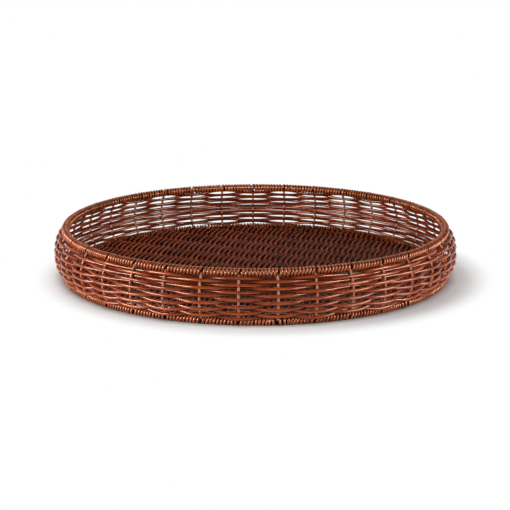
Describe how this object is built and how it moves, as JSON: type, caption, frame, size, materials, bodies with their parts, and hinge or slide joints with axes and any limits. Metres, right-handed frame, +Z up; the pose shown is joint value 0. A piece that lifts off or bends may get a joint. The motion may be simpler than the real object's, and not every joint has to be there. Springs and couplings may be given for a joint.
{
  "type": "bread basket",
  "caption": "Shallow round bread basket woven from glossy red-brown plastic cane: a swelling wall on upright wire stakes, a bound rim and foot, and a woven base mat.",
  "frame": {"origin": "on the table, under the middle of the basket", "axes": "+Z up out of the mouth; -Y towards the front of the picture; +X to the right"},
  "size_m": [0.3203, 0.3201, 0.0415],
  "materials": {
    "wall_cane": "glossy red-brown plastic cane",
    "binding_cane": "glossy red-brown plastic cane",
    "stake_wire": "glossy brown lacquered steel wire",
    "base_cane": "darker red-brown plastic cane",
    "hoop_wire": "dark brown lacquered steel wire"
  },
  "bodies": {
    "root": {"top_hoop": "hoop_wire", "base_hoop": "hoop_wire", "top_binding": "binding_cane", "base_binding": "binding_cane", "side_weaver": "wall_cane", "base_strands_odd": "base_cane", "base_strands_even": "base_cane", "stake_01": "stake_wire", "stake_02": "stake_wire", "stake_03": "stake_wire", "stake_04": "stake_wire", "stake_05": "stake_wire", "stake_06": "stake_wire", "stake_07": "stake_wire", "stake_08": "stake_wire", "stake_09": "stake_wire", "stake_10": "stake_wire", "stake_11": "stake_wire", "stake_12": "stake_wire", "stake_13": "stake_wire", "stake_14": "stake_wire", "stake_15": "stake_wire", "stake_16": "stake_wire", "stake_17": "stake_wire", "stake_18": "stake_wire", "stake_19": "stake_wire", "stake_20": "stake_wire", "stake_21": "stake_wire", "stake_22": "stake_wire", "stake_23": "stake_wire", "stake_24": "stake_wire", "stake_25": "stake_wire", "stake_26": "stake_wire", "stake_27": "stake_wire", "stake_28": "stake_wire", "stake_29": "stake_wire", "stake_30": "stake_wire", "stake_31": "stake_wire", "stake_32": "stake_wire", "stake_33": "stake_wire", "stake_34": "stake_wire", "stake_35": "stake_wire", "base_rib_01": "stake_wire", "base_rib_02": "stake_wire", "base_rib_03": "stake_wire", "base_rib_04": "stake_wire", "base_rib_05": "stake_wire", "base_rib_06": "stake_wire", "base_rib_07": "stake_wire", "base_rib_08": "stake_wire", "base_rib_09": "stake_wire", "base_rib_10": "stake_wire"}
  },
  "joints": []
}
